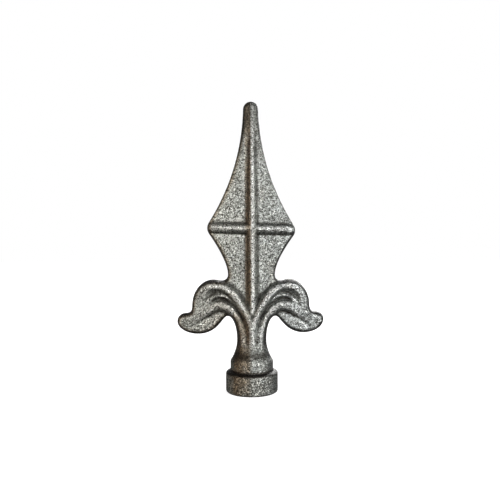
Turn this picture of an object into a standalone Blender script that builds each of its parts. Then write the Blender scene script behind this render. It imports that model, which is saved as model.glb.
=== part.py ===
"""Spear point finial for the top of a fence picket, forged in one piece.

A flat spear blade with a raised spine and crossbar stands on a pair of leaves that curl out of a
round neck. Below the neck a cup and a round collar end in the flat face that is welded to the
picket. Metres, +Z up, the blade in the XZ plane, the origin at the centre of the underside.
Run it with: blender --background --python part.py
"""

import math

import bmesh
import bpy
import numpy as np
from mathutils import Vector
from mathutils.geometry import delaunay_2d_cdt, interpolate_bezier

# Turned foot
COLLAR_RADIUS = 0.0129
COLLAR_HEIGHT = 0.0102
COLLAR_EDGE = 0.0009
CUP_RADIUS = 0.0106
CUP_HEIGHT = 0.0058
CUP_EDGE = 0.0004
CUP_ROOT_FILLET = 0.0003
NECK_RADIUS = 0.00727
FLARE_SPREAD = 0.0029
FLARE_HEIGHT = 0.0100
STEM_IN_CUP = 0.0020

# Blade
FINIAL_HEIGHT = 0.1442
BLADE_HALF_WIDTH = 0.0229
BLADE_HALF_THICKNESS = 0.0028
CROSSBAR_Z = 0.0806
CROSSBAR_TILT = math.radians(1.6)
CORNER_CUT = 0.0036
TIP_HALF_WIDTH = 0.0038
WAIST_HALF_WIDTH = 0.01165
WAIST_ABOVE_LEAF = 0.0026

# Raised spine and crossbar
SPINE_HALF_WIDTH = 0.0028
SPINE_TIP_HALF_WIDTH = 0.0016
SPINE_HALF_THICKNESS = 0.0062
TIP_HALF_THICKNESS = 0.0042
TIP_SPINE_PROUD = 0.0004
CROSSBAR_HALF_WIDTH = 0.0027
CROSSBAR_HALF_THICKNESS = 0.0058
CROSSBAR_END_HALF_THICKNESS = 0.0046

# Leaves, whose pattern is given in shares of this reach and rise
LEAF_REACH = 0.03575
LEAF_RISE = 0.0294
LEFT_SPREAD = 0.0012
LEFT_DROOP = 0.0009
NECK_GROOVE_SHARE = 0.20

# Rim along the parting line, and the fillet between forms
EDGE_HALF_THICKNESS = 0.0011
LEAF_EDGE_ROUND = 0.0019
BLADE_EDGE_ROUND = 0.0011
TIP_EDGE_ROUND = 0.0032
FILLET = 0.0005

# Mesh: steps along the outline and the ridges, the grid between them, and least spacings
FOOT_SEGMENTS = 48
COLLAR_EDGE_STEPS = 3
FLARE_STEPS = 6
OUTLINE_STEP = 0.0036
OUTLINE_TURN = math.radians(13)
STRAIGHT_STEP = 0.0032
LEAF_STEP = 0.0013
PAD_STEP = 0.0026
GRID_STEP = 0.0024
RIDGE_SPACING = 0.0006
GRID_SPACING = 0.0017
RIM_SPACING = 0.0003
RIM_RINGS = (0.15, 0.5, 1.0)
RIM_RING_SLACK = 0.97
RIDGE_OFFSETS = (0.0, 1.0, -1.0, 0.55, -0.55)
COVER_SLACK = 0.0001
MERGE_GAP = 0.00001

CUP_TOP_Z = COLLAR_HEIGHT + CUP_HEIGHT
NECK_Z = CUP_TOP_Z + FLARE_HEIGHT
LEAF_TOP_Z = NECK_Z + LEAF_RISE
WAIST_Z = LEAF_TOP_Z + WAIST_ABOVE_LEAF
STEM_BOTTOM_Z = CUP_TOP_Z - STEM_IN_CUP
GROOVE_FROM_Z = CUP_TOP_Z + 0.4 * FLARE_HEIGHT
STEM_SINKS_FROM_Z = NECK_Z + 0.25 * LEAF_RISE
STEM_SINKS_TO_Z = NECK_Z + 0.75 * LEAF_RISE
SPINE_FOOT_Z = NECK_Z + 0.45 * LEAF_RISE
TIP_ROUNDS_FROM_Z = CROSSBAR_Z + 0.5 * (FINIAL_HEIGHT - CROSSBAR_Z)
TIP_ROUNDS_TO_Z = CROSSBAR_Z + 0.85 * (FINIAL_HEIGHT - CROSSBAR_Z)

# Places on a leaf's outline, each as (share of reach, share of rise)
ARMPIT = (0.333, 0.393)
BELLY = (0.722, 0.112)
TIP_SIDE = (1.0, 0.342)
TIP_TOP = (0.895, 0.467)
LOBE_SIDE = (0.804, 0.597)
LOBE_TOP = (0.526, 1.018)
NOTCH_RISE = 0.993

# Handles of the outline's curves, as shares of the stretch they bend
ELLIPSE_GRIP = 0.5523
LOBE_GRIP = 0.72
BELLY_GRIPS = (0.18, 0.68)
LOBE_TOP_GRIPS = (0.4, 0.4)

# Where the blade's hollow sides pull to, as (share of the narrow end's half width, share of the rise)
LOWER_SIDE_GRIP = (1.02, 0.31)
UPPER_SIDE_GRIP = (1.25, 0.49)
NOTCH_WIDENING = 1.25

# How a ridge is rounded, as (fullness, flatness): a low fullness fills its shoulders and a high
# flatness broadens its crest
SPINE_ROUND = (1.1, 2.0)
CROSSBAR_ROUND = (1.1, 2.0)
ROLL_ROUND = (0.8, 2.5)
FIN_ROUND = (0.8, 2.0)
PAD_ROUND = (0.8, 3.0)
GROOVE_FULLNESS = 1.5

# Crest lines of one leaf, each knot as
# (share of reach, share of rise, half width and crest height as shares of the neck's radius)
UPPER_ROLL = (
    (0.000, -0.34, 0.32, 1.04),
    (0.000, -0.17, 0.33, 1.04),
    (0.000, 0.00, 0.34, 1.02),
    (0.004, 0.13, 0.35, 1.02),
    (0.022, 0.27, 0.37, 1.03),
    (0.068, 0.40, 0.39, 1.02),
    (0.115, 0.52, 0.40, 0.98),
    (0.195, 0.68, 0.41, 0.92),
    (0.330, 0.83, 0.43, 0.85),
    (0.480, 0.90, 0.45, 0.80),
    (0.610, 0.86, 0.50, 0.76),
    (0.690, 0.76, 0.56, 0.70),
    (0.735, 0.62, 0.60, 0.63),
    (0.755, 0.48, 0.55, 0.57),
)
LOWER_ROLL = (
    (0.112, -0.34, 0.28, 0.88),
    (0.112, -0.17, 0.28, 0.87),
    (0.118, 0.00, 0.30, 0.86),
    (0.140, 0.16, 0.33, 0.87),
    (0.178, 0.33, 0.36, 0.89),
    (0.228, 0.44, 0.38, 0.89),
    (0.310, 0.535, 0.40, 0.86),
    (0.425, 0.590, 0.42, 0.80),
    (0.560, 0.550, 0.46, 0.73),
    (0.680, 0.460, 0.52, 0.66),
    (0.800, 0.385, 0.58, 0.60),
    (0.910, 0.335, 0.60, 0.54),
)
MIDDLE_FIN = (
    (0.150, 0.460, 0.09, 0.80),
    (0.205, 0.565, 0.11, 0.78),
    (0.271, 0.655, 0.13, 0.75),
    (0.347, 0.728, 0.14, 0.72),
    (0.425, 0.757, 0.15, 0.70),
    (0.501, 0.742, 0.15, 0.67),
    (0.562, 0.695, 0.16, 0.65),
    (0.612, 0.635, 0.18, 0.62),
    (0.655, 0.560, 0.18, 0.59),
)
TIP_PAD = (
    (0.440, 0.37, 0.42, 0.54),
    (0.560, 0.28, 0.62, 0.58),
    (0.700, 0.23, 0.72, 0.58),
    (0.830, 0.27, 0.72, 0.55),
    (0.920, 0.34, 0.60, 0.52),
)

# The groove carved under the upper roll, with its depth in place of a crest height
UPPER_GROOVE = (
    (0.120, 0.34, 0.08, 0.02),
    (0.179, 0.486, 0.10, 0.06),
    (0.257, 0.645, 0.13, 0.12),
    (0.347, 0.770, 0.17, 0.17),
    (0.439, 0.822, 0.20, 0.19),
    (0.531, 0.820, 0.22, 0.18),
    (0.607, 0.765, 0.22, 0.15),
    (0.650, 0.680, 0.18, 0.09),
    (0.655, 0.600, 0.12, 0.02),
)


def clear_scene():
    for obj in list(bpy.data.objects):
        bpy.data.objects.remove(obj, do_unlink=True)


def new_collection(name):
    collection = bpy.data.collections.new(name)
    bpy.context.scene.collection.children.link(collection)
    return collection


def bezier(start, handle_out, handle_in, end):
    """Points of one Bezier stretch without its end, as many as its length and its turn need."""
    corners = [Vector((x, z, 0.0)) for x, z in (start, handle_out, handle_in, end)]
    first, middle, last = (b - a for a, b in zip(corners, corners[1:]))
    turn = first.angle(middle) + middle.angle(last)
    length = (corners[3] - corners[0]).length
    count = math.ceil(max(turn / OUTLINE_TURN, length / OUTLINE_STEP, 2))
    return [(p.x, p.y) for p in interpolate_bezier(*corners, count + 1)][:-1]


def quarter_turn(start, end, leaves_upright, grip=ELLIPSE_GRIP):
    """A quarter of an ellipse that leaves start upright or level and meets end the other way."""
    run, rise = end[0] - start[0], end[1] - start[1]
    if leaves_upright:
        handles = (start[0], start[1] + grip * rise), (end[0] - grip * run, end[1])
    else:
        handles = (start[0] + grip * run, start[1]), (end[0], end[1] - grip * rise)
    return bezier(start, *handles, end)


def level_sway(start, end, grips):
    """An S that leaves start level and meets end level."""
    run = end[0] - start[0]
    handle_out = (start[0] + grips[0] * run, start[1])
    handle_in = (end[0] - grips[1] * run, end[1])
    return bezier(start, handle_out, handle_in, end)


def hollow(start, grip, end):
    """A curve bent towards grip."""
    handles = [
        tuple(a + 2 / 3 * (b - a) for a, b in zip(place, grip)) for place in (start, end)
    ]
    return bezier(start, *handles, end)


def towards(start, end, distance):
    share = distance / math.dist(start, end)
    return tuple(a + share * (b - a) for a, b in zip(start, end))


def leaf_point(side, reach_share, rise_share):
    """A place in the leaf pattern. The left leaf is struck a little wider and hangs a little lower."""
    x = reach_share * LEAF_REACH
    z = NECK_Z + rise_share * LEAF_RISE
    out = min(1.0, max(0.0, (x - WAIST_HALF_WIDTH) / (LEAF_REACH - WAIST_HALF_WIDTH)))
    if side < 0:
        x += LEFT_SPREAD * out
        z -= LEFT_DROOP * out
    return side * x, z


def flare_radius(z):
    """Radius of the round neck, which widens towards the cup as a parabola."""
    drop = np.clip((NECK_Z - z) / FLARE_HEIGHT, 0.0, 1.0)
    return NECK_RADIUS + FLARE_SPREAD * drop**2


def leaf_outline(side):
    """Neck, armpit, belly, tip and upper lobe, from the neck up to the waist."""
    flare_zs = np.linspace(CUP_TOP_Z, NECK_Z, FLARE_STEPS + 1)
    flare = [(side * flare_radius(z), z) for z in flare_zs]
    neck = [(flare[0][0], STEM_BOTTOM_Z), *flare]
    corners = (ARMPIT, BELLY, TIP_SIDE, TIP_TOP, LOBE_SIDE, LOBE_TOP)
    armpit, belly, tip_side, tip_top, lobe_side, lobe_top = (leaf_point(side, *c) for c in corners)
    notch = (side * WAIST_HALF_WIDTH * NOTCH_WIDENING, NECK_Z + NOTCH_RISE * LEAF_RISE)
    waist = (side * WAIST_HALF_WIDTH, WAIST_Z)
    return [
        *neck[:-1],
        *quarter_turn(neck[-1], armpit, leaves_upright=True),
        *level_sway(armpit, belly, BELLY_GRIPS),
        *quarter_turn(belly, tip_side, leaves_upright=False),
        *quarter_turn(tip_side, tip_top, leaves_upright=True),
        *quarter_turn(tip_top, lobe_side, leaves_upright=False, grip=LOBE_GRIP),
        *quarter_turn(lobe_side, lobe_top, leaves_upright=True),
        *level_sway(lobe_top, notch, LOBE_TOP_GRIPS),
        *quarter_turn(notch, waist, leaves_upright=False),
    ]


def blade_outline(side):
    """Waist, hollow lower side, rounded corner, hollow upper side and nose, up to the point."""
    waist = (side * WAIST_HALF_WIDTH, WAIST_Z)
    corner_z = CROSSBAR_Z - side * BLADE_HALF_WIDTH * math.tan(CROSSBAR_TILT)
    corner = (side * BLADE_HALF_WIDTH, corner_z)
    nose = (side * TIP_HALF_WIDTH, FINIAL_HEIGHT - TIP_HALF_WIDTH)
    narrowing, rise = LOWER_SIDE_GRIP
    lower_grip = (side * narrowing * WAIST_HALF_WIDTH, WAIST_Z + rise * (corner_z - WAIST_Z))
    narrowing, rise = UPPER_SIDE_GRIP
    upper_grip = (side * narrowing * TIP_HALF_WIDTH, corner_z + rise * (nose[1] - corner_z))
    below = towards(corner, lower_grip, CORNER_CUT)
    above = towards(corner, upper_grip, CORNER_CUT)
    return [
        *hollow(waist, lower_grip, below),
        *hollow(below, corner, above),
        *hollow(above, upper_grip, nose),
        *quarter_turn(nose, (0.0, FINIAL_HEIGHT), leaves_upright=True),
    ]


def closed_outline():
    """The whole parting line, anticlockwise seen from the front."""
    right = leaf_outline(1) + blade_outline(1)
    left = leaf_outline(-1) + blade_outline(-1)
    return np.array(right + [(0.0, FINIAL_HEIGHT)] + left[::-1])


def smooth_path(knots, steps=8):
    """A Catmull-Rom curve through knots that hold a place and any other values."""
    knots = np.array(knots, float)
    padded = np.vstack((2 * knots[0] - knots[1], knots, 2 * knots[-1] - knots[-2]))
    rows = []
    for a, b, c, d in zip(padded, padded[1:], padded[2:], padded[3:]):
        for t in np.arange(steps) / steps:
            squared = 2 * a - 5 * b + 4 * c - d
            cubed = 3 * b - a - 3 * c + d
            rows.append(b + 0.5 * ((c - a) * t + squared * t**2 + cubed * t**3))
    rows.append(knots[-1])
    return np.array(rows)


def nearest_on(path, places):
    """Distance from each place to the path, and the path's other values at the nearest spot."""
    starts, ends = path[:-1], path[1:]
    spans = (ends - starts)[:, :2]
    offsets = places[:, None, :] - starts[None, :, :2]
    along = np.clip((offsets * spans).sum(2) / (spans**2).sum(1), 0.0, 1.0)
    gaps = np.linalg.norm(offsets - along[:, :, None] * spans, axis=2)
    nearest = gaps.argmin(axis=1)
    row = np.arange(len(places))
    share = along[row, nearest][:, None]
    values = starts[nearest, 2:] * (1 - share) + ends[nearest, 2:] * share
    return gaps[row, nearest], values


def smooth_max(first, second):
    """The larger of two heights, with a fillet where they meet."""
    share = np.clip(0.5 + 0.5 * (first - second) / FILLET, 0.0, 1.0)
    return second + (first - second) * share + FILLET * share * (1.0 - share)


def ramp(values, low, high):
    """0 below low, 1 above high, and smooth between them."""
    share = np.clip((values - low) / (high - low), 0.0, 1.0)
    return share * share * (3 - 2 * share)


def ridge(places, ground, path, rounding):
    """A rounded ridge whose path holds x, z, half width and crest height."""
    gap, values = nearest_on(path, places)
    width, crest = values.T
    fullness, flatness = rounding
    bell = np.clip(1.0 - (gap / width) ** flatness, 0.0, 1.0) ** fullness
    return ground + np.maximum(crest - ground, 0.0) * bell


def carved(places, path):
    """Depth of a groove whose path holds x, z, half width and depth."""
    gap, values = nearest_on(path, places)
    width, depth = values.T
    return depth * np.clip(1.0 - (gap / width) ** 2, 0.0, 1.0) ** GROOVE_FULLNESS


def leaf_line(knots, side):
    rows = [
        (*leaf_point(side, reach, rise), width * NECK_RADIUS, crest * NECK_RADIUS)
        for reach, rise, width, crest in knots
    ]
    return smooth_path(rows)


def spine_path():
    """The ridge down the middle of the blade, from inside the tip to under the leaves."""
    low = (0.0, SPINE_FOOT_Z, SPINE_HALF_WIDTH, SPINE_HALF_THICKNESS)
    crossing = (0.0, CROSSBAR_Z, SPINE_HALF_WIDTH, SPINE_HALF_THICKNESS)
    tip_z = FINIAL_HEIGHT - TIP_HALF_WIDTH
    high = (0.0, tip_z, SPINE_TIP_HALF_WIDTH, TIP_HALF_THICKNESS)
    return np.array((low, crossing, high))


def crossbar_path():
    rows = []
    for side in (-1, 0, 1):
        x = side * (BLADE_HALF_WIDTH - CROSSBAR_HALF_WIDTH)
        crest = CROSSBAR_END_HALF_THICKNESS if side else CROSSBAR_HALF_THICKNESS
        rows.append((x, CROSSBAR_Z - x * math.tan(CROSSBAR_TILT), CROSSBAR_HALF_WIDTH, crest))
    return np.array(rows)


def ridges():
    """Every ridge as its path, its rounding and the step of its mesh."""
    found = [
        (spine_path(), SPINE_ROUND, STRAIGHT_STEP),
        (crossbar_path(), CROSSBAR_ROUND, STRAIGHT_STEP),
    ]
    for side in (1, -1):
        found.append((leaf_line(UPPER_ROLL, side), ROLL_ROUND, LEAF_STEP))
        found.append((leaf_line(LOWER_ROLL, side), ROLL_ROUND, LEAF_STEP))
        found.append((leaf_line(MIDDLE_FIN, side), FIN_ROUND, LEAF_STEP))
        found.append((leaf_line(TIP_PAD, side), PAD_ROUND, PAD_STEP))
    return found


def grooves():
    return [leaf_line(UPPER_GROOVE, side) for side in (1, -1)]


def stem(places):
    """The round neck between its rolls, sinking away as the leaves part."""
    x, z = places.T
    groove = 1.0 - NECK_GROOVE_SHARE * ramp(z, GROOVE_FROM_Z, NECK_Z)
    round_neck = np.sqrt(np.maximum(flare_radius(z) ** 2 - x**2, 0.0))
    return groove * round_neck - NECK_RADIUS * ramp(z, STEM_SINKS_FROM_Z, STEM_SINKS_TO_Z)


def edge_round(z):
    """How far in from the outline the rim rounds over: least on the blade, and most at the tip."""
    on_blade = (BLADE_EDGE_ROUND - LEAF_EDGE_ROUND) * ramp(z, LEAF_TOP_Z, WAIST_Z)
    at_tip = (TIP_EDGE_ROUND - BLADE_EDGE_ROUND) * ramp(z, TIP_ROUNDS_FROM_Z, TIP_ROUNDS_TO_Z)
    return LEAF_EDGE_ROUND + on_blade + at_tip


def outline_loop(outline):
    return np.vstack((outline, outline[:1]))


def panel_ground(places):
    """Half the thickness without its ridges: flat panels that swell at the tip, and the neck."""
    swell = TIP_HALF_THICKNESS - TIP_SPINE_PROUD - BLADE_HALF_THICKNESS
    panels = BLADE_HALF_THICKNESS + swell * ramp(places[:, 1], TIP_ROUNDS_FROM_Z, TIP_ROUNDS_TO_Z)
    return smooth_max(panels, stem(places))


def relief(places, outline):
    """Half the thickness of the forging at each place in the XZ plane."""
    neck = stem(places)
    ground = panel_ground(places)
    height = ground
    for path, rounding, _ in ridges():
        height = smooth_max(height, ridge(places, ground, path, rounding))
    for path in grooves():
        height = height - carved(places, path)
    gap, _ = nearest_on(outline_loop(outline), places)
    inside = np.clip(gap / edge_round(places[:, 1]), 0.0, 1.0)
    fall = np.sqrt(inside * (2.0 - inside))
    return np.maximum(EDGE_HALF_THICKNESS + (height - EDGE_HALF_THICKNESS) * fall, neck)


def ridge_places(path, step, offset):
    """Places a step apart along a ridge, offset by a share of its half width."""
    lengths = np.linalg.norm(np.diff(path[:, :2], axis=0), axis=1)
    travelled = np.concatenate(([0.0], np.cumsum(lengths)))
    wanted = np.linspace(0.0, travelled[-1], round(travelled[-1] / step) + 1)
    rows = np.column_stack([np.interp(wanted, travelled, column) for column in path.T])
    ahead = np.gradient(rows[:, :2], axis=0)
    ahead /= np.linalg.norm(ahead, axis=1)[:, None]
    across = np.column_stack((-ahead[:, 1], ahead[:, 0]))
    return rows[:, :2] + offset * rows[:, 2:3] * across


def on_top(places, one, others):
    """Whether one ridge stands as high as any of the others at each place."""
    ground = panel_ground(places)
    own, *rest = (ridge(places, ground, path, rounding) for path, rounding, _ in (one, *others))
    return own > np.max(rest, axis=0) - COVER_SLACK


def ridge_lines():
    """Mesh lines along the crest, toes and sides of every ridge, and whether each place shows."""
    every = ridges()
    found = []
    for offset in RIDGE_OFFSETS:
        for i, one in enumerate(every):
            path, _, step = one
            places = ridge_places(path, step, offset)
            found.append((places, on_top(places, one, every[:i] + every[i + 1 :])))
    for path in grooves():
        places = ridge_places(path, LEAF_STEP, 0.0)
        found.append((places, np.full(len(places), True)))
    return found


def grid_places(outline):
    """An even grid over the outline's box, leaving out what lies on a ridge."""
    low, high = outline.min(axis=0), outline.max(axis=0)
    columns = np.arange(low[0], high[0], GRID_STEP)
    lines = []
    for row, z in enumerate(np.arange(low[1], high[1], GRID_STEP * math.sqrt(3) / 2)):
        shift = 0.5 * GRID_STEP * (row % 2)
        lines.append(np.column_stack((columns + shift, np.full(len(columns), z))))
    places = np.vstack(lines)
    for path, *_ in ridges():
        gap, values = nearest_on(path, places)
        places = places[gap > values[:, 0]]
    return places


def mesh_plan(outline):
    """Places and edges for the mesh: the outline, rings where the rim rounds, ridge lines, a grid."""
    loop = outline_loop(outline)
    tangents = np.roll(outline, -1, axis=0) - np.roll(outline, 1, axis=0)
    tangents /= np.linalg.norm(tangents, axis=1)[:, None]
    inwards = np.column_stack((-tangents[:, 1], tangents[:, 0]))
    rounds = edge_round(outline[:, 1])[:, None]
    places, edges = list(outline), []
    for share in RIM_RINGS:
        ring = outline + share * rounds * inwards
        gap, _ = nearest_on(loop, ring)
        places.extend(ring[gap > RIM_RING_SLACK * share * rounds[:, 0]])
    lines = [(*line, RIDGE_SPACING, True) for line in ridge_lines()]
    grid = grid_places(outline)
    lines.append((grid, np.full(len(grid), True), GRID_SPACING, False))
    for line, seen, spacing, joined in lines:
        gap, _ = nearest_on(loop, line)
        previous = None
        for place, inside in zip(line, seen & (gap > edge_round(line[:, 1]) + RIM_SPACING)):
            if inside and np.linalg.norm(np.array(places) - place, axis=1).min() > spacing:
                if joined and previous is not None:
                    edges.append((previous, len(places)))
                previous = len(places)
                places.append(place)
            else:
                previous = None
    return places, edges


def relief_half():
    """The front half of the forging, open at the parting plane Y = 0."""
    outline = closed_outline()
    places, edges = mesh_plan(outline)
    rim_face = [list(range(len(outline)))]
    flat, _, faces, *_ = delaunay_2d_cdt([Vector(p) for p in places], edges, rim_face, 1, 1e-7)
    flat = np.array([tuple(p) for p in flat])
    depth = relief(flat, outline)
    mesh = bmesh.new()
    front = [mesh.verts.new((x, -y, z)) for (x, z), y in zip(flat, depth)]
    for face in faces:
        mesh.faces.new([front[i] for i in face])
    rim_edges = [edge for edge in mesh.edges if edge.is_boundary]
    walls = bmesh.ops.extrude_edge_only(mesh, edges=rim_edges)["geom"]
    for vert in (part for part in walls if isinstance(part, bmesh.types.BMVert)):
        vert.co.y = 0.0
    loose = [vert for vert in mesh.verts if not vert.link_faces]
    bmesh.ops.delete(mesh, geom=loose, context="VERTS")
    bmesh.ops.recalc_face_normals(mesh, faces=mesh.faces)
    if sum(face.normal.y for face in mesh.faces) > 0:
        bmesh.ops.reverse_faces(mesh, faces=mesh.faces)
    return mesh


def make_foot(collection, material):
    """Collar and cup, turned from one profile."""
    collar_side = COLLAR_RADIUS - COLLAR_EDGE
    turns = [math.pi / 2 * i / COLLAR_EDGE_STEPS for i in range(COLLAR_EDGE_STEPS + 1)]
    lower_edge = [
        (collar_side + COLLAR_EDGE * math.sin(turn), COLLAR_EDGE * (1 - math.cos(turn)))
        for turn in turns
    ]
    upper_edge = [(radius, COLLAR_HEIGHT - z) for radius, z in reversed(lower_edge)]
    profile = [
        (0.0, 0.0),
        *lower_edge,
        *upper_edge,
        (CUP_RADIUS + CUP_ROOT_FILLET, COLLAR_HEIGHT),
        (CUP_RADIUS, COLLAR_HEIGHT + CUP_ROOT_FILLET),
        (CUP_RADIUS, CUP_TOP_Z - CUP_EDGE),
        (CUP_RADIUS - CUP_EDGE, CUP_TOP_Z),
        (0.0, CUP_TOP_Z),
    ]
    mesh = bpy.data.meshes.new("foot_profile")
    points = [(radius, 0.0, z) for radius, z in reversed(profile)]
    mesh.from_pydata(points, [(i, i + 1) for i in range(len(points) - 1)], [])
    foot = bpy.data.objects.new("foot_profile", mesh)
    foot.data.materials.append(material)
    collection.objects.link(foot)
    turn = foot.modifiers.new("turn", "SCREW")
    turn.axis = "Z"
    turn.steps = turn.render_steps = FOOT_SEGMENTS
    turn.use_merge_vertices = True
    turn.merge_threshold = MERGE_GAP
    foot.hide_render = True
    foot.display_type = "WIRE"
    return foot


def iron_material():
    """Bare grey iron, blasted after forging."""
    material = bpy.data.materials.new("bare_iron")
    material.use_nodes = True
    shader = material.node_tree.nodes["Principled BSDF"]
    shader.inputs["Base Color"].default_value = (0.24, 0.235, 0.22, 1.0)
    shader.inputs["Metallic"].default_value = 0.9
    shader.inputs["Roughness"].default_value = 0.5
    return material


def make_finial():
    parts = new_collection("spear_point_finial")
    helpers = new_collection("helpers")
    iron = iron_material()
    foot = make_foot(helpers, iron)
    half = relief_half()
    mesh = bpy.data.meshes.new("spear_finial")
    half.to_mesh(mesh)
    half.free()
    mesh.materials.append(iron)
    mesh.shade_smooth()
    finial = bpy.data.objects.new("spear_finial", mesh)
    parts.objects.link(finial)

    mirror = finial.modifiers.new("back_half", "MIRROR")
    mirror.use_axis = (False, True, False)
    mirror.merge_threshold = MERGE_GAP
    join = finial.modifiers.new("join_foot", "BOOLEAN")
    join.operation = "UNION"
    join.object = foot
    return finial


clear_scene()
make_finial()
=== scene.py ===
# Spear point finial: one struck piece of bare iron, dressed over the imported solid
# Units are metres, +Z runs up to the point, the front faces -Y

import math

import bmesh
import bpy
import numpy as np
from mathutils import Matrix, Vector
from mathutils.geometry import delaunay_2d_cdt, interpolate_bezier


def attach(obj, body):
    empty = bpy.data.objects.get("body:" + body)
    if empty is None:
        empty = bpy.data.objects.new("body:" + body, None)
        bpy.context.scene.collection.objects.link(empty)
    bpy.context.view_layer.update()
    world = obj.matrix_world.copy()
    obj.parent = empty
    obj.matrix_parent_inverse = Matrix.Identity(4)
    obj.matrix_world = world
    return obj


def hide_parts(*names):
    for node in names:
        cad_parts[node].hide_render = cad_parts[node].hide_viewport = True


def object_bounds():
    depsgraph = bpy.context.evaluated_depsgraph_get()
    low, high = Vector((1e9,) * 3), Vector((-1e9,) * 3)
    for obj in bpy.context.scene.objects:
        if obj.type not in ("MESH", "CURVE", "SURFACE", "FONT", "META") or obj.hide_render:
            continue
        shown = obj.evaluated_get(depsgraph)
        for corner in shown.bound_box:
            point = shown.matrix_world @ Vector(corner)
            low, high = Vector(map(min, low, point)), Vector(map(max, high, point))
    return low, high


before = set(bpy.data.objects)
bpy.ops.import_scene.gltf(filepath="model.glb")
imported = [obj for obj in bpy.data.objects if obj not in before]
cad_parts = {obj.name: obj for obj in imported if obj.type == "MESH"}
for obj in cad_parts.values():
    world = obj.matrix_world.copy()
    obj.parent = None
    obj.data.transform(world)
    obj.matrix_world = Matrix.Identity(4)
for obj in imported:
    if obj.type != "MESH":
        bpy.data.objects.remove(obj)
cadLow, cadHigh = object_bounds()
print("frame loaded")


def addNode(tree, kind, values=(), **settings):
    node = tree.nodes.new(kind)
    for name, setting in settings.items():
        setattr(node, name, setting)
    for socket, value in dict(values).items():
        if isinstance(value, bpy.types.Node):  # a node stands for its first working output
            value = next(output for output in value.outputs if output.enabled)
        if isinstance(value, bpy.types.NodeSocket):
            tree.links.new(value, node.inputs[socket])
        else:
            node.inputs[socket].default_value = value
    return node


def linearColour(hexCode):
    channels = [int(hexCode[i : i + 2], 16) / 255 for i in (1, 3, 5)]
    return (*((c / 12.92 if c <= 0.04045 else ((c + 0.055) / 1.055) ** 2.4) for c in channels), 1.0)


finial = {
    "height": 0.1442,
    "collarRadius": 0.0129,
    "collarHeight": 0.0102,
    "collarEdge": 0.0009,
    "cupRadius": 0.0106,
    "cupHeight": 0.0058,
    "cupEdge": 0.0005,
    "cupRoot": 0.00035,  # fillet between collar and cup
    "edgeSteps": 6,  # steps round the edges of collar and cup
    "neckRadius": 0.00727,
    "flareSpread": 0.0029,
    "flareHeight": 0.0100,
    "bladeHalfWidth": 0.0229,
    "panelHalfThickness": 0.0028,
    "crossbarHeight": 0.0806,
    "crossbarTilt": math.radians(1.6),
    "crossbarHalfWidth": 0.0027,
    "crossbarShort": 0.0011,  # its left end stops sooner
    "crossbarRaise": 0.0003,  # above the line of the corners
    "crossbarCrest": 0.0058,
    "crossbarEndCrest": 0.0046,
    "cornerCut": 0.0036,
    "tipHalfWidth": 0.0038,
    "tipCrest": 0.0042,
    "tipSpineProud": 0.0004,
    "tipThickens": (0.5, 0.85),  # shares of the blade above the crossbar
    "waistHalfWidth": 0.01165,
    "waistAboveLeaf": 0.0026,
    "spineHalfWidth": 0.0029,
    "spineAside": 0.0004,  # the dies met a little right of the middle
    "spineTipHalfWidth": 0.0016,
    "spineCrest": 0.0062,
    "leafReach": 0.03575,
    "leafRise": 0.0294,
    "leftSpread": 0.0012,
    "leftDroop": 0.0009,
    "neckGroove": 0.20,  # share of the neck's radius
    "neckGrooveFrom": 0.4,  # share of the flare where the grooves begin
    "neckSinks": (0.25, 0.75),  # shares of the leaf's rise where the round neck ends
    "spineFoot": 0.45,  # the same, where the spine begins
    "rimHalfThickness": 0.0011,
    "leafRound": 0.0019,
    "bladeRound": 0.0006,
    "lowerBladeRound": 0.0012,
    "roundsChange": 0.004,  # below the crossbar, from the lower round to the sharper one
    "tipRound": 0.0036,
    "fillet": 0.0005,
    "toeWidth": 0.0009,
    "toeDepth": 0.00050,
    "toeFrom": 0.004,  # below the leaves' tops
    "toeTipLoss": 0.6,  # share of its depth that a toe loses up to the tip
    "toeOverRib": (0.0006, 0.0016),  # it fades where the ground is raised by this much
    "footSteps": 160,
    "meshStep": 0.00045,
    "voxel": 0.000425,
    "softening": 2,  # smoothing passes that leave the fillets of a struck piece
    "swell": 0.00012,  # gives back what softening and dents take off
}

cupTop = finial["collarHeight"] + finial["cupHeight"]
neckTop = cupTop + finial["flareHeight"]
leafTop = neckTop + finial["leafRise"]
waistHeight = leafTop + finial["waistAboveLeaf"]
bladeTop = finial["height"] - finial["crossbarHeight"]
tipRounds = [finial["crossbarHeight"] + share * bladeTop for share in finial["tipThickens"]]
roundsFrom = finial["crossbarHeight"] - finial["roundsChange"]

# corners of a leaf's outline: share of reach, share of rise
leafCorners = {
    "armpit": (0.333, 0.393),
    "belly": (0.722, 0.112),
    "tipSide": (1.0, 0.342),
    "tipTop": (0.895, 0.467),
    "lobeSide": (0.804, 0.597),
    "lobeTop": (0.526, 1.018),
}
# how the outline bends between corners
bends = {
    "quarter": 0.5523,  # share of the stretch, for a quarter of an ellipse
    "lobe": 0.72,
    "belly": (0.18, 0.68),
    "lobeTop": (0.4, 0.4),
    "notch": (1.25, 0.007),  # shares of the waist's half width and of the leaf's rise
    "bladeFoot": (1.02, 0.31),  # shares of the waist's half width and of the rise to the corner
    "bladeHead": (1.25, 0.49),  # shares of the tip's half width and of the rise to the point
}

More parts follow.
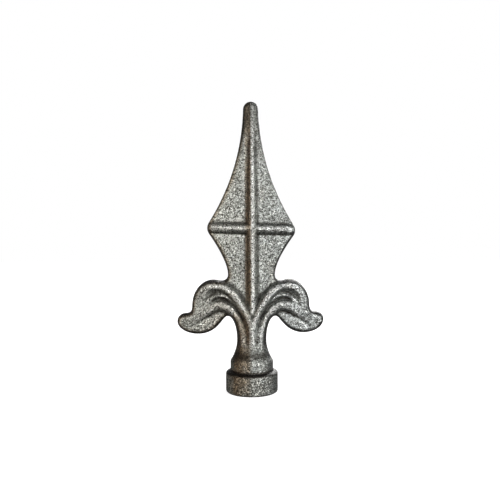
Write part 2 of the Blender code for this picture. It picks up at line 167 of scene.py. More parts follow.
# crest lines of one leaf: share of reach, share of rise, half width and crest in neck radii
leafLines = {
    "upperRoll": (
        (0.000, -0.34, 0.32, 1.04),
        (0.000, -0.17, 0.33, 1.04),
        (0.000, 0.00, 0.34, 1.02),
        (0.004, 0.13, 0.35, 1.02),
        (0.022, 0.27, 0.37, 1.03),
        (0.068, 0.40, 0.39, 1.02),
        (0.115, 0.52, 0.40, 0.98),
        (0.195, 0.68, 0.41, 0.92),
        (0.330, 0.83, 0.43, 0.85),
        (0.480, 0.90, 0.45, 0.80),
        (0.610, 0.86, 0.50, 0.76),
        (0.690, 0.76, 0.56, 0.70),
        (0.735, 0.62, 0.60, 0.63),
        (0.755, 0.48, 0.55, 0.57),
    ),
    "lowerRoll": (
        (0.112, -0.34, 0.28, 0.88),
        (0.112, -0.17, 0.28, 0.87),
        (0.118, 0.00, 0.30, 0.86),
        (0.140, 0.16, 0.33, 0.87),
        (0.178, 0.33, 0.36, 0.89),
        (0.228, 0.44, 0.38, 0.89),
        (0.310, 0.535, 0.40, 0.86),
        (0.425, 0.590, 0.42, 0.80),
        (0.560, 0.550, 0.46, 0.73),
        (0.680, 0.460, 0.52, 0.66),
        (0.800, 0.385, 0.58, 0.60),
        (0.910, 0.335, 0.60, 0.54),
    ),
    "middleFin": (
        (0.150, 0.460, 0.09, 0.80),
        (0.205, 0.565, 0.11, 0.78),
        (0.271, 0.655, 0.13, 0.75),
        (0.347, 0.728, 0.14, 0.72),
        (0.425, 0.757, 0.15, 0.70),
        (0.501, 0.742, 0.15, 0.67),
        (0.562, 0.695, 0.16, 0.65),
        (0.612, 0.635, 0.18, 0.62),
        (0.655, 0.560, 0.18, 0.59),
    ),
    "tipPad": (
        (0.440, 0.37, 0.42, 0.54),
        (0.560, 0.28, 0.62, 0.58),
        (0.700, 0.23, 0.72, 0.58),
        (0.830, 0.27, 0.72, 0.55),
        (0.920, 0.34, 0.60, 0.52),
    ),
}
# carved lines between them: share of reach, share of rise, half width and depth in neck radii
leafGrooves = {
    "upperGroove": (
        (0.120, 0.34, 0.08, 0.02),
        (0.179, 0.486, 0.10, 0.06),
        (0.257, 0.645, 0.13, 0.12),
        (0.347, 0.770, 0.17, 0.17),
        (0.439, 0.822, 0.20, 0.19),
        (0.531, 0.820, 0.22, 0.18),
        (0.607, 0.765, 0.22, 0.15),
        (0.650, 0.680, 0.18, 0.09),
        (0.655, 0.600, 0.12, 0.02),
    ),
    "middleGroove": (
        (0.120, 0.22, 0.10, 0.03),
        (0.150, 0.374, 0.12, 0.08),
        (0.205, 0.500, 0.14, 0.12),
        (0.280, 0.600, 0.15, 0.13),
        (0.364, 0.662, 0.15, 0.11),
        (0.439, 0.683, 0.14, 0.08),
        (0.515, 0.662, 0.13, 0.05),
        (0.576, 0.620, 0.10, 0.02),
    ),
    "lowerGroove": (
        (0.350, 0.470, 0.12, 0.03),
        (0.410, 0.490, 0.16, 0.10),
        (0.480, 0.480, 0.16, 0.12),
        (0.545, 0.440, 0.13, 0.10),
        (0.621, 0.385, 0.10, 0.075),
        (0.713, 0.315, 0.08, 0.055),
        (0.800, 0.255, 0.07, 0.035),
        (0.850, 0.225, 0.06, 0.01),
    ),
}

# lines that end otherwise on the left leaf: how many of the knots above go, and what follows
leftEnds = {
    "upperRoll": (2, ((0.735, 0.620, 0.66, 0.64), (0.750, 0.480, 0.60, 0.59))),
    "middleFin": (0, ((0.705, 0.480, 0.18, 0.57),)),
    "upperGroove": (3, ((0.600, 0.785, 0.17, 0.05),)),
    "middleGroove": (2, ((0.515, 0.650, 0.17, 0.11), (0.595, 0.575, 0.17, 0.08), (0.660, 0.480, 0.12, 0.02))),
}

# how each ridge is rounded: fullness and flatness, each at the neck and out on the leaf
ridgeShapes = {
    "spine": ((1.0, 1.0), (2, 2)),
    "crossbar": ((0.75, 0.75), (2, 2)),
    "upperRoll": ((1.0, 0.65), (2, 3)),
    "lowerRoll": ((1.0, 0.65), (2, 3)),
    "middleFin": ((0.8, 0.8), (2, 2)),
    "tipPad": ((0.8, 0.8), (3, 3)),
}


def bezierRun(start, handleOut, handleIn, end):
    corners = [Vector((x, z, 0)) for x, z in (start, handleOut, handleIn, end)]
    length = sum((b - a).length for a, b in zip(corners, corners[1:]))
    count = max(3, math.ceil(length / finial["meshStep"]))
    return [(p.x, p.y) for p in interpolate_bezier(*corners, count + 1)][:-1]


def quarterTurn(start, end, upright, grip=bends["quarter"]):
    run, rise = end[0] - start[0], end[1] - start[1]
    if upright:  # leaves start upright, meets end level
        return bezierRun(start, (start[0], start[1] + grip * rise), (end[0] - grip * run, end[1]), end)
    return bezierRun(start, (start[0] + grip * run, start[1]), (end[0], end[1] - grip * rise), end)


def levelSway(start, end, gripOut, gripIn):
    run = end[0] - start[0]
    return bezierRun(start, (start[0] + gripOut * run, start[1]), (end[0] - gripIn * run, end[1]), end)


def hollowRun(start, grip, end):
    handles = [tuple(a + 2 / 3 * (b - a) for a, b in zip(p, grip)) for p in (start, end)]
    return bezierRun(start, *handles, end)


def stepTowards(start, end, distance):
    share = distance / math.dist(start, end)
    return tuple(a + share * (b - a) for a, b in zip(start, end))


def leafPoint(side, reachShare, riseShare):
    x = reachShare * finial["leafReach"]
    z = neckTop + riseShare * finial["leafRise"]
    out = (x - finial["waistHalfWidth"]) / (finial["leafReach"] - finial["waistHalfWidth"])
    if side < 0:  # the left leaf is struck a little wider and lower
        x += finial["leftSpread"] * min(1, max(0, out))
        z -= finial["leftDroop"] * min(1, max(0, out))
    return side * x, z


def flareRadius(z):
    drop = np.clip((neckTop - z) / finial["flareHeight"], 0, 1)
    return finial["neckRadius"] + finial["flareSpread"] * drop**2


def sideOutline(side):
    flare = [(side * float(flareRadius(z)), z) for z in np.linspace(cupTop, neckTop, 24)]
    armpit, belly, tipSide, tipTop, lobeSide, lobeTop = (leafPoint(side, *c) for c in leafCorners.values())
    notchOut, notchDown = bends["notch"]
    notch = (side * finial["waistHalfWidth"] * notchOut, leafTop - notchDown * finial["leafRise"])
    waist = (side * finial["waistHalfWidth"], waistHeight)
    cornerZ = finial["crossbarHeight"] - side * finial["bladeHalfWidth"] * math.tan(finial["crossbarTilt"])
    corner = (side * finial["bladeHalfWidth"], cornerZ)
    nose = (side * finial["tipHalfWidth"], finial["height"] - finial["tipHalfWidth"])
    gripOut, gripUp = bends["bladeFoot"]
    lowerGrip = (side * gripOut * finial["waistHalfWidth"], waistHeight + gripUp * (cornerZ - waistHeight))
    gripOut, gripUp = bends["bladeHead"]
    upperGrip = (side * gripOut * finial["tipHalfWidth"], cornerZ + gripUp * (nose[1] - cornerZ))
    below = stepTowards(corner, lowerGrip, finial["cornerCut"])
    above = stepTowards(corner, upperGrip, finial["cornerCut"])
    return [
        (flare[0][0], cupTop - 0.002),
        *flare[:-1],
        *quarterTurn(flare[-1], armpit, upright=True),
        *levelSway(armpit, belly, *bends["belly"]),
        *quarterTurn(belly, tipSide, upright=False),
        *quarterTurn(tipSide, tipTop, upright=True),
        *quarterTurn(tipTop, lobeSide, upright=False, grip=bends["lobe"]),
        *quarterTurn(lobeSide, lobeTop, upright=True),
        *levelSway(lobeTop, notch, *bends["lobeTop"]),
        *quarterTurn(notch, waist, upright=False),
        *hollowRun(waist, lowerGrip, below),
        *hollowRun(below, corner, above),
        *hollowRun(above, upperGrip, nose),
        *quarterTurn(nose, (0.0, finial["height"]), upright=True),
    ]


def wholeOutline():
    return np.array(sideOutline(1) + [(0.0, finial["height"])] + sideOutline(-1)[::-1])


def smoothPath(knots, steps=10):
    knots = np.array(knots, float)
    padded = np.vstack((2 * knots[0] - knots[1], knots, 2 * knots[-1] - knots[-2]))
    rows = []
    for a, b, c, d in zip(padded, padded[1:], padded[2:], padded[3:]):
        for t in np.arange(steps) / steps:
            squared, cubed = 2 * a - 5 * b + 4 * c - d, 3 * b - a - 3 * c + d
            rows.append(b + 0.5 * ((c - a) * t + squared * t**2 + cubed * t**3))
    return np.array([*rows, knots[-1]])


def nearestOn(path, places, pairsAtOnce=2000000):
    gaps, found = [], []
    starts, spans = path[:-1], np.diff(path, axis=0)
    lengths = (spans[:, :2] ** 2).sum(1)
    for block in np.array_split(places, max(1, len(places) * len(path) // pairsAtOnce)):
        offsets = block[:, None, :] - starts[None, :, :2]
        along = np.clip((offsets * spans[:, :2]).sum(2) / lengths, 0, 1)
        away = np.linalg.norm(offsets - along[:, :, None] * spans[:, :2], axis=2)
        nearest = away.argmin(axis=1)
        row = np.arange(len(block))
        gaps.append(away[row, nearest])
        found.append(starts[nearest, 2:] + along[row, nearest][:, None] * spans[nearest, 2:])
    return np.concatenate(gaps), np.vstack(found)


def rimDistance(outline, places):
    return nearestOn(np.vstack((outline, outline[:1])), places)[0]


def filletMax(first, second):
    share = np.clip(0.5 + 0.5 * (first - second) / finial["fillet"], 0, 1)
    return second + (first - second) * share + finial["fillet"] * share * (1 - share)


def smoothRamp(values, low, high):
    share = np.clip((values - low) / (high - low), 0, 1)
    return share * share * (3 - 2 * share)


def between(values, rise, full, fade, none):
    return smoothRamp(values, rise, full) * (1 - smoothRamp(values, fade, none))


def roundRidge(places, ground, path, shape):
    gap, found = nearestOn(path, places)
    outward = smoothRamp(np.abs(places[:, 0]), 0.004, 0.010)
    fullness, flatness = (near + (far - near) * outward for near, far in shape)
    bell = np.clip(1 - (gap / found[:, 0]) ** flatness, 0, 1) ** fullness
    return ground + np.maximum(found[:, 1] - ground, 0) * bell


def toeGroove(places, path):
    gap, found = nearestOn(path, places)
    across = (gap - found[:, 0]) / finial["toeWidth"]
    return finial["toeDepth"] * np.clip(1 - across**2, 0, 1) ** 1.5


def carvedDepth(places, path):
    gap, found = nearestOn(path, places)
    return found[:, 1] * np.clip(1 - (gap / found[:, 0]) ** 2, 0, 1) ** 1.5


def leafPath(side, knots):
    radius = finial["neckRadius"]
    rows = [(*leafPoint(side, out, up), wide * radius, crest * radius) for out, up, wide, crest in knots]
    return smoothPath(rows)


def sideKnots(side, name, knots):
    if side > 0 or name not in leftEnds:
        return knots
    gone, others = leftEnds[name]
    return (*knots[: len(knots) - gone], *others)


def ridgeLines():
    aside, tipZ = finial["spineAside"], finial["height"] - finial["tipHalfWidth"]
    footZ = neckTop + finial["spineFoot"] * finial["leafRise"]
    low = (aside, footZ, finial["spineHalfWidth"], finial["spineCrest"])
    middle = (aside, finial["crossbarHeight"], finial["spineHalfWidth"], finial["spineCrest"])
    high = (aside, tipZ, finial["spineTipHalfWidth"], finial["tipCrest"])
    bar = []
    for side in (-1, 0, 1):
        x = side * (finial["bladeHalfWidth"] - finial["crossbarHalfWidth"])
        if side < 0:
            x += finial["crossbarShort"]
        z = finial["crossbarHeight"] + finial["crossbarRaise"] - x * math.tan(finial["crossbarTilt"])
        crest = finial["crossbarEndCrest"] if side else finial["crossbarCrest"]
        bar.append((x, z, finial["crossbarHalfWidth"], crest))
    lines = [(np.array((low, middle, high)), ridgeShapes["spine"]), (np.array(bar), ridgeShapes["crossbar"])]
    for side in (1, -1):
        for name, knots in leafLines.items():
            lines.append((leafPath(side, sideKnots(side, name, knots)), ridgeShapes[name]))
    return lines


def halfThickness(places, outline):
    x, z = places.T
    grooveFrom = cupTop + finial["neckGrooveFrom"] * finial["flareHeight"]
    groove = 1 - finial["neckGroove"] * smoothRamp(z, grooveFrom, neckTop)
    sink = smoothRamp(z, *(neckTop + share * finial["leafRise"] for share in finial["neckSinks"]))
    neck = groove * np.sqrt(np.maximum(flareRadius(z) ** 2 - x**2, 0)) - finial["neckRadius"] * sink
    atTip = smoothRamp(z, *tipRounds)
    tipSwell = finial["tipCrest"] - finial["tipSpineProud"] - finial["panelHalfThickness"]
    ground = filletMax(finial["panelHalfThickness"] + tipSwell * atTip, neck)
    height = ground
    lines = ridgeLines()
    for path, shape in lines:
        height = filletMax(height, roundRidge(places, ground, path, shape))
    onBlade = smoothRamp(z, leafTop - finial["toeFrom"], leafTop) * (1 - finial["toeTipLoss"] * atTip)
    onGround = 1 - smoothRamp(height - ground, *finial["toeOverRib"])  # a toe stops where a rib crosses it
    toes = np.maximum(toeGroove(places, lines[0][0]), toeGroove(places, lines[1][0]))
    height = height - onBlade * onGround * toes
    for side in (1, -1):
        for name, knots in leafGrooves.items():
            height = height - carvedDepth(places, leafPath(side, sideKnots(side, name, knots)))
    leafToBlade = smoothRamp(z, leafTop, waistHeight)
    belowBar = 1 - smoothRamp(z, roundsFrom, finial["crossbarHeight"])
    bladeRound = finial["bladeRound"] + (finial["lowerBladeRound"] - finial["bladeRound"]) * belowBar
    rimRound = finial["leafRound"] + (bladeRound - finial["leafRound"]) * leafToBlade
    rimRound += (finial["tipRound"] - finial["bladeRound"]) * atTip
    inside = np.clip(rimDistance(outline, places) / rimRound, 0, 1)
    rim = finial["rimHalfThickness"]
    return np.maximum(rim + (height - rim) * np.sqrt(inside * (2 - inside)), neck)


def struckBody():
    outline = wholeOutline()
    step = finial["meshStep"]
    low, high = outline.min(axis=0), outline.max(axis=0)
    columns, rows = np.meshgrid(np.arange(low[0], high[0], step), np.arange(low[1], high[1], step))
    grid = np.column_stack((columns.ravel(), rows.ravel()))
    places = np.vstack((outline, grid[rimDistance(outline, grid) > 0.5 * step]))
    rimFace = [list(range(len(outline)))]
    flat, _, faces, *_ = delaunay_2d_cdt([Vector(p) for p in places], [], rimFace, 1, 1e-7)
    flat = np.array([tuple(p) for p in flat])
    depth = halfThickness(flat, outline)
    body = bmesh.new()
    sheets = []
    for facing in (-1, 1):  # front sheet, then back sheet
        corners = [body.verts.new((x, facing * y, z)) for (x, z), y in zip(flat, depth)]
        sheets.append(corners)
        for face in faces:
            body.faces.new([corners[i] for i in (face if facing < 0 else face[::-1])])
    for a in range(len(outline)):
        b = (a + 1) % len(outline)
        body.faces.new((sheets[0][a], sheets[0][b], sheets[1][b], sheets[1][a]))
    loose = [v for v in body.verts if not v.link_faces]
    bmesh.ops.delete(body, geom=loose, context="VERTS")
    bmesh.ops.recalc_face_normals(body, faces=body.faces)
    return body


def turnFoot(body):
    edge, side = finial["collarEdge"], finial["collarRadius"] - finial["collarEdge"]
    turns = [math.pi / 2 * i / finial["edgeSteps"] for i in range(finial["edgeSteps"] + 1)]
    lower = [(side + edge * math.sin(t), edge * (1 - math.cos(t))) for t in turns]
    upper = [(r, finial["collarHeight"] - z) for r, z in reversed(lower)]
    cup, cupEdge, cupRoot = finial["cupRadius"], finial["cupEdge"], finial["cupRoot"]
    profile = [
        (0, 0),
        *lower,
        *upper,
        (cup + cupRoot, finial["collarHeight"]),
        (cup, finial["collarHeight"] + cupRoot),
        *((cup - cupEdge * (1 - math.cos(t)), cupTop - cupEdge * (1 - math.sin(t))) for t in turns),
        (0, cupTop),
    ]
    verts = [body.verts.new((r, 0, z)) for r, z in profile]
    edges = [body.edges.new(pair) for pair in zip(verts, verts[1:])]
    bmesh.ops.spin(
        body, geom=[*verts, *edges], cent=(0, 0, 0), axis=(0, 0, 1), angle=2 * math.pi,
        steps=finial["footSteps"], use_merge=True,
    )


def plainMesh(thing):
    graph = bpy.context.evaluated_depsgraph_get()
    return bpy.data.meshes.new_from_object(thing.evaluated_get(graph), depsgraph=graph)


body = struckBody()
turnFoot(body)
bmesh.ops.remove_doubles(body, verts=body.verts, dist=1e-6)
bmesh.ops.recalc_face_normals(body, faces=body.faces)
rawMesh = bpy.data.meshes.new("rawFinial")
body.to_mesh(rawMesh)
body.free()
ironBody = bpy.data.objects.new("ironFinial", rawMesh)
bpy.context.scene.collection.objects.link(ironBody)
print("struck body and turned foot made:", len(rawMesh.polygons), "faces")

fuse = ironBody.modifiers.new("fuse", "REMESH")
fuse.mode = "VOXEL"
fuse.voxel_size = finial["voxel"]
fuse.adaptivity = 0
bpy.context.view_layer.update()
fusedMesh = plainMesh(ironBody)
ironBody.modifiers.clear()
ironBody.data = fusedMesh
print("fused:", len(fusedMesh.vertices), "vertices")


def meshArrays(mesh):
    points = np.empty(len(mesh.vertices) * 3)
    mesh.vertices.foreach_get("co", points)
    ends = np.empty(len(mesh.edges) * 2, int)
    mesh.edges.foreach_get("vertices", ends)
    return points.reshape(-1, 3), ends.reshape(-1, 2)


def evenOut(points, ends, passes):
    a, b = ends.T
    count = np.bincount(np.concatenate((a, b)), minlength=len(points))[:, None]
    for _ in range(passes):
        total = np.column_stack([
            np.bincount(a, points[b, i], len(points)) + np.bincount(b, points[a, i], len(points))
            for i in range(3)
        ])
        points = 0.5 * points + 0.5 * total / count
    return points


# where scale, painted shade, a painted warm reflection and rubbing with a painted highlight lie on the struck
# mesh, in metres: ramps go from none to full
wear = {
    "hollowPasses": (9, 1),  # smoothing that finds the hollows, and that evens what was found
    "hollowDepth": 0.00013,  # counts as a full hollow
    "hollowReflectionLoss": 0.55,  # scale and painted shade in the hollows are thinner under the spine's painted warm reflection
    "rimWidth": (0.0014, 0.0004),  # from the rim
    "rimSpread": (1.3, 1.0, 0.7),  # how much wider the rim's painted shade is on leaves, lower blade and head
    "rimEdgeOn": (0.05, 0.30, 0.4),  # it thins to the last share where the face turns sideways
    "rimLeftLoss": (0.2, 0.7, 0.45),  # and loses this share where the face looks left
    "rubbedHighlightFacing": (0.45, 0.85),  # only where the face looks to front or back
    "rubbedHighlightFromRim": (0.0012, 0.0026),
    "spineWarmReflection": (-0.0036, -0.0026, -0.0006, 0.0003),
    "spineReflectionFoot": (0.040, 0.046),
    "footWarmReflection": (-0.0100, -0.0082, -0.0022, 0.0006),
    "footReflectionTop": (0.034, 0.046),
    "leftEdgeWarmReflection": (0.0008, 0.0028, 0.8),  # whole up to here, gone from there, and how much
    "leftEdgeFrom": (0.002, 0.006),
    "ledgeShade": (-0.0012, -0.0004, 0.0008, 0.0016),  # painted shade on the collar's top, from its height
    "dimpleAside": 0.0009,  # a dark dimple where the ribs cross, on the front
    "dimple": (0.0009, 0.0003),  # from its middle
}

points, ends = meshArrays(fusedMesh)
points = evenOut(points, ends, finial["softening"])
fusedMesh.vertices.foreach_set("co", points.ravel())
fusedMesh.update()
normals = np.empty(len(points) * 3)
fusedMesh.vertices.foreach_get("normal", normals)
normals = normals.reshape(-1, 3)
points = points + finial["swell"] * normals
fusedMesh.vertices.foreach_set("co", points.ravel())
findPasses, evenPasses = wear["hollowPasses"]
hollow = ((evenOut(points, ends, findPasses) - points) * normals).sum(1)
hollow = evenOut(np.column_stack((hollow, hollow, hollow)), ends, evenPasses)[:, 0] / wear["hollowDepth"]

sideways, up = points[:, 0], points[:, 2]
aboveCup = smoothRamp(up, cupTop, neckTop)
rimGap = rimDistance(wholeOutline(), points[:, [0, 2]])
onLeaf, onBlade, onHead = wear["rimSpread"]
rimSpread = onLeaf + (onBlade - onLeaf) * smoothRamp(up, leafTop, waistHeight)
rimSpread += (onHead - onBlade) * smoothRamp(up, roundsFrom, finial["crossbarHeight"])
rimNone, rimFull = wear["rimWidth"]
# painted shade along the rims, darkened in the colour as if the metal mirrored dark surroundings there
rim = (1 - smoothRamp(rimGap / rimSpread, rimFull, rimNone)) * aboveCup
turned, flat, least = wear["rimEdgeOn"]
rim *= least + (1 - least) * smoothRamp(np.abs(normals[:, 1]), turned, flat)
turned, flat, loss = wear["rimLeftLoss"]
rim *= 1 - loss * smoothRamp(-normals[:, 0], turned, flat)

# crests brighter, partly rubbed and partly a painted highlight, only on faces looking to front or back
rubbedAndPaintedHighlight = np.clip(-hollow, 0, 1) * smoothRamp(rimGap, *wear["rubbedHighlightFromRim"]) * aboveCup
rubbedAndPaintedHighlight *= smoothRamp(np.abs(normals[:, 1]), *wear["rubbedHighlightFacing"])
# painted warm reflection: brown on the left-facing flank of the spine, the left of the foot and the left
# edges
spineWarmReflection = between(sideways, *wear["spineWarmReflection"]) * smoothRamp(up, *wear["spineReflectionFoot"])
footWarmReflection = between(sideways, *wear["footWarmReflection"]) * (1 - smoothRamp(up, *wear["footReflectionTop"]))
near, far, most = wear["leftEdgeWarmReflection"]
leftWarmReflection = most * (1 - smoothRamp(rimGap, near, far)) * smoothRamp(-sideways, *wear["leftEdgeFrom"])
leftWarmReflection *= aboveCup
# painted shade on the collar's top, in place of its bright reflection
ledgeShade = between(up - finial["collarHeight"], *wear["ledgeShade"])
crossingHeight = finial["crossbarHeight"] + finial["crossbarRaise"]
fromCrossing = np.hypot(sideways - wear["dimpleAside"], up - crossingHeight)
dimpleNone, dimpleFull = wear["dimple"]
dimple = (1 - smoothRamp(fromCrossing, dimpleFull, dimpleNone)) * (points[:, 1] < 0)
# dark scale in the hollows, with painted shade there as well
hollowScaleAndShade = np.clip(hollow, 0, 1) * (1 - wear["hollowReflectionLoss"] * spineWarmReflection)
marks = {
    "paintedWarmReflection": np.clip(spineWarmReflection + footWarmReflection + leftWarmReflection, 0, 1),
    # scale and painted shade in the hollows, painted shade on the collar's top, and the dark dimple
    "hollow": np.maximum(hollowScaleAndShade, np.maximum(ledgeShade, dimple)),
    "rubbedAndPaintedHighlight": rubbedAndPaintedHighlight,
    "rim": rim,
}
for name, values in marks.items():
    attribute = fusedMesh.attributes.new(name, "FLOAT", "POINT")
    attribute.data.foreach_set("value", values)
print("softened, hollows read")


# lumps and grain pressed into the surface
skin = {
    "Lump Size": 0.0050,
    "Lump Depth": 0.00010,
    "Grain Size": 0.0011,
    "Grain Depth": 0.00009,
    "Seed": 7.0,
}

# forged grey iron, shot blasted: a matt grain that glints where it catches the light
blastedIron = bpy.data.materials.new("shotBlastedForgedIron")
blastedIron.use_nodes = True
blasted = {
    "steel": "#b1b3ae",  # open grain on flats and crests
    "shade": "#42413d",  # bottoms of the grain
    "rubbedAndPaintedHighlight": "#e2e2de",  # crests rubbed brighter, with a painted highlight on them
    "scale": "#24201b",  # dark scale in the hollows, also painted shade there, along the rims, on the collar's top and above the cup's shoulder; it also darkens the foot and the point
    "rustAndWarmReflection": "#8a7354",  # thin brown bloom of rust, also the colour of the painted warm reflection on the left flanks
    "warmCast": "#fbfaf5",  # olive towards the left leaf
    "coolCast": "#f4f7fa",  # blue towards the right one
    "grain": 0.00062,  # blast craters are about 0.2 mm; drawn coarser to show at this size
    "craters": 0.00046,  # the same, as single facets
    "blotch": 0.009,
    "bloom": 0.022,
    "noises": {"grain": (3.0, 0.65), "blotch": (4.0, 0.6), "bloom": (5.0, 0.62)},  # detail and roughness
    "metallic": 0.92,
    "speckle": (0.55, 1.45),  # grain and facet together, from darkest to brightest
    "roughness": (0.27, 0.48),
    "glossSpeckle": (0.5, 1.5),  # speckle that is roughest, and smoothest
    "relief": 0.00032,
    "facetRelief": 0.35,  # share that the facets add to it
    "facetTilt": 0.43,
    "castReach": 0.04,  # from the middle line to full blue
    "castWaver": 0.04,  # how far a blotch moves it
    "mottle": (0.30, 0.72, 0.88, 1.07),  # blotch from and to, brightness from and to
    "reflectionPatches": (0.25, 0.50),  # blotch where the painted reflection begins and where it is whole
    "bandWaver": 0.004,
    "bandCore": 0.0005,  # half height that the band covers wholly
    "shoulderShadeBand": (0.0188, 0.0028, 0.74),  # height, reach and cover of the painted shade above the cup's shoulder, where the flare faces up
    "warmReflectionCover": 0.72,  # painted warm reflection, brown, down the left flank of the spine, the neck and the foot
    "footShade": (0.0440, 0.0200, 0.10),  # darker down the foot, from the first height to the second
    "tipShade": (0.110, 0.138, 0.62),  # and up to the point
    "shadeWaver": 0.012,  # how far a blotch moves the ends of those two
}


def addCoats(tree, colour, coats):
    for where, none, full, most, finish in coats:
        values = {"Value": where, "From Min": none, "From Max": full, "To Max": most}
        cover = addNode(tree, "ShaderNodeMapRange", values)
        values = {0: cover, 6: colour, 7: linearColour(blasted[finish])}
        colour = addNode(tree, "ShaderNodeMix", values, data_type="RGBA")
    return colour


def makeIron():
    tree = blastedIron.node_tree
    tree.nodes.clear()
    place = addNode(tree, "ShaderNodeTexCoord").outputs["Object"]
    apart = addNode(tree, "ShaderNodeSeparateXYZ", {0: place})
    sides, height = apart.outputs["X"], apart.outputs["Z"]
    noises = {}
    for name, (detail, roughness) in blasted["noises"].items():
        values = {"Vector": place, "Scale": 1 / blasted[name], "Detail": detail, "Roughness": roughness}
        noises[name] = addNode(tree, "ShaderNodeTexNoise", values)
    patch = noises["blotch"]
    crater = addNode(tree, "ShaderNodeTexVoronoi", {"Vector": place, "Scale": 1 / blasted["craters"]})
    facetHue = crater.outputs["Color"]
    facet = addNode(tree, "ShaderNodeSeparateColor", {0: facetHue})
    speckle = addNode(tree, "ShaderNodeMath", {0: noises["grain"], 1: facet}, operation="ADD")

    spots = {name: addNode(tree, "ShaderNodeAttribute", attribute_name=name).outputs["Fac"] for name in marks}
    patchFrom, patchTo = blasted["reflectionPatches"]
    patchy = addNode(tree, "ShaderNodeMapRange", {"Value": patch, "From Min": patchFrom, "From Max": patchTo})
    paintedWarmReflection = addNode(tree, "ShaderNodeMath", {0: spots["paintedWarmReflection"], 1: patchy}, operation="MULTIPLY")
    underGrain = (
        # where it lies, from none to most, how much it covers, colour
        # rubbed crests with a painted highlight
        (spots["rubbedAndPaintedHighlight"], 0.06, 0.55, 0.95, "rubbedAndPaintedHighlight"),
        (noises["bloom"], 0.54, 0.74, 0.4, "rustAndWarmReflection"),
        # painted warm reflection, brown, on the left flanks
        (paintedWarmReflection, 0.0, 1.0, blasted["warmReflectionCover"], "rustAndWarmReflection"),
    )
    colour = addCoats(tree, linearColour(blasted["steel"]), underGrain)
    low, high = blasted["speckle"]
    grit = addNode(tree, "ShaderNodeMapRange", {"Value": speckle, "From Min": low, "From Max": high})
    values = {0: grit, 6: linearColour(blasted["shade"]), 7: colour}
    colour = addNode(tree, "ShaderNodeMix", values, data_type="RGBA")
    values = {0: patch, 1: blasted["castWaver"], 2: sides}
    across = addNode(tree, "ShaderNodeMath", values, operation="MULTIPLY_ADD")
    cooler = addNode(tree, "ShaderNodeMapRange", {"Value": across, "From Max": blasted["castReach"]})
    values = {0: cooler, 6: linearColour(blasted["warmCast"]), 7: linearColour(blasted["coolCast"])}
    cast = addNode(tree, "ShaderNodeMix", values, data_type="RGBA")
    patchFrom, patchTo, least, most = blasted["mottle"]
    values = {"Value": patch, "From Min": patchFrom, "From Max": patchTo, "To Min": least, "To Max": most}
    mottle = addNode(tree, "ShaderNodeMapRange", values)
    for tint in (cast, mottle):
        values = {0: 1.0, 6: colour, 7: tint}
        colour = addNode(tree, "ShaderNodeMix", values, data_type="RGBA", blend_type="MULTIPLY")

    # painted shade above the cup's shoulder
    bandHeight, bandReach, bandMost = blasted["shoulderShadeBand"]
    waver = blasted["bandWaver"]  # a blotch is about a half, so half of it is given back
    uneven = addNode(tree, "ShaderNodeMath", {0: patch, 1: waver, 2: height}, operation="MULTIPLY_ADD")
    band = addNode(tree, "ShaderNodeMath", {0: uneven, 1: bandHeight + waver / 2}, operation="SUBTRACT")
    band = addNode(tree, "ShaderNodeMath", {0: band}, operation="ABSOLUTE")
    waver = blasted["shadeWaver"]
    uneven = addNode(tree, "ShaderNodeMath", {0: patch, 1: waver, 2: height}, operation="MULTIPLY_ADD")
    footFrom, footTo, footMost = blasted["footShade"]
    tipFrom, tipTo, tipMost = blasted["tipShade"]
    overGrain = (
        # painted shade above the cup's shoulder
        (band, bandReach, blasted["bandCore"], bandMost, "scale"),
        (uneven, footFrom + waver / 2, footTo + waver / 2, footMost, "scale"),
        (uneven, tipFrom + waver / 2, tipTo + waver / 2, tipMost, "scale"),
        # painted shade along the rims
        (spots["rim"], 0.0, 1.0, 0.92, "scale"),
        # dark scale and painted shade in the hollows, painted shade on the collar's top, and the dark dimple
        (spots["hollow"], 0.12, 0.85, 0.88, "scale"),
    )
    colour = addCoats(tree, colour, overGrain)

    smooth, rough = blasted["roughness"]
    low, high = blasted["glossSpeckle"]
    values = {"Value": speckle, "From Min": low, "From Max": high, "To Min": rough, "To Max": smooth}
    gloss = addNode(tree, "ShaderNodeMapRange", values)
    centred = addNode(tree, "ShaderNodeVectorMath", {0: facetHue, 1: (-0.5, -0.5, -0.5)}, operation="ADD")
    values = {0: centred, "Scale": blasted["facetTilt"]}
    tilt = addNode(tree, "ShaderNodeVectorMath", values, operation="SCALE")
    facing = addNode(tree, "ShaderNodeNewGeometry").outputs["Normal"]
    tilted = addNode(tree, "ShaderNodeVectorMath", {0: facing, 1: tilt}, operation="ADD")
    tilted = addNode(tree, "ShaderNodeVectorMath", {0: tilted}, operation="NORMALIZE")
    values = {0: facet, 1: blasted["facetRelief"], 2: noises["grain"]}
    relief = addNode(tree, "ShaderNodeMath", values, operation="MULTIPLY_ADD")
    values = {"Normal": tilted, "Height": relief, "Distance": blasted["relief"]}
    bump = addNode(tree, "ShaderNodeBump", values)
    values = {"Base Color": colour, "Roughness": gloss, "Normal": bump, "Metallic": blasted["metallic"]}
    shader = addNode(tree, "ShaderNodeBsdfPrincipled", values)
    addNode(tree, "ShaderNodeOutputMaterial", {"Surface": shader})


makeIron()
print("iron mixed")


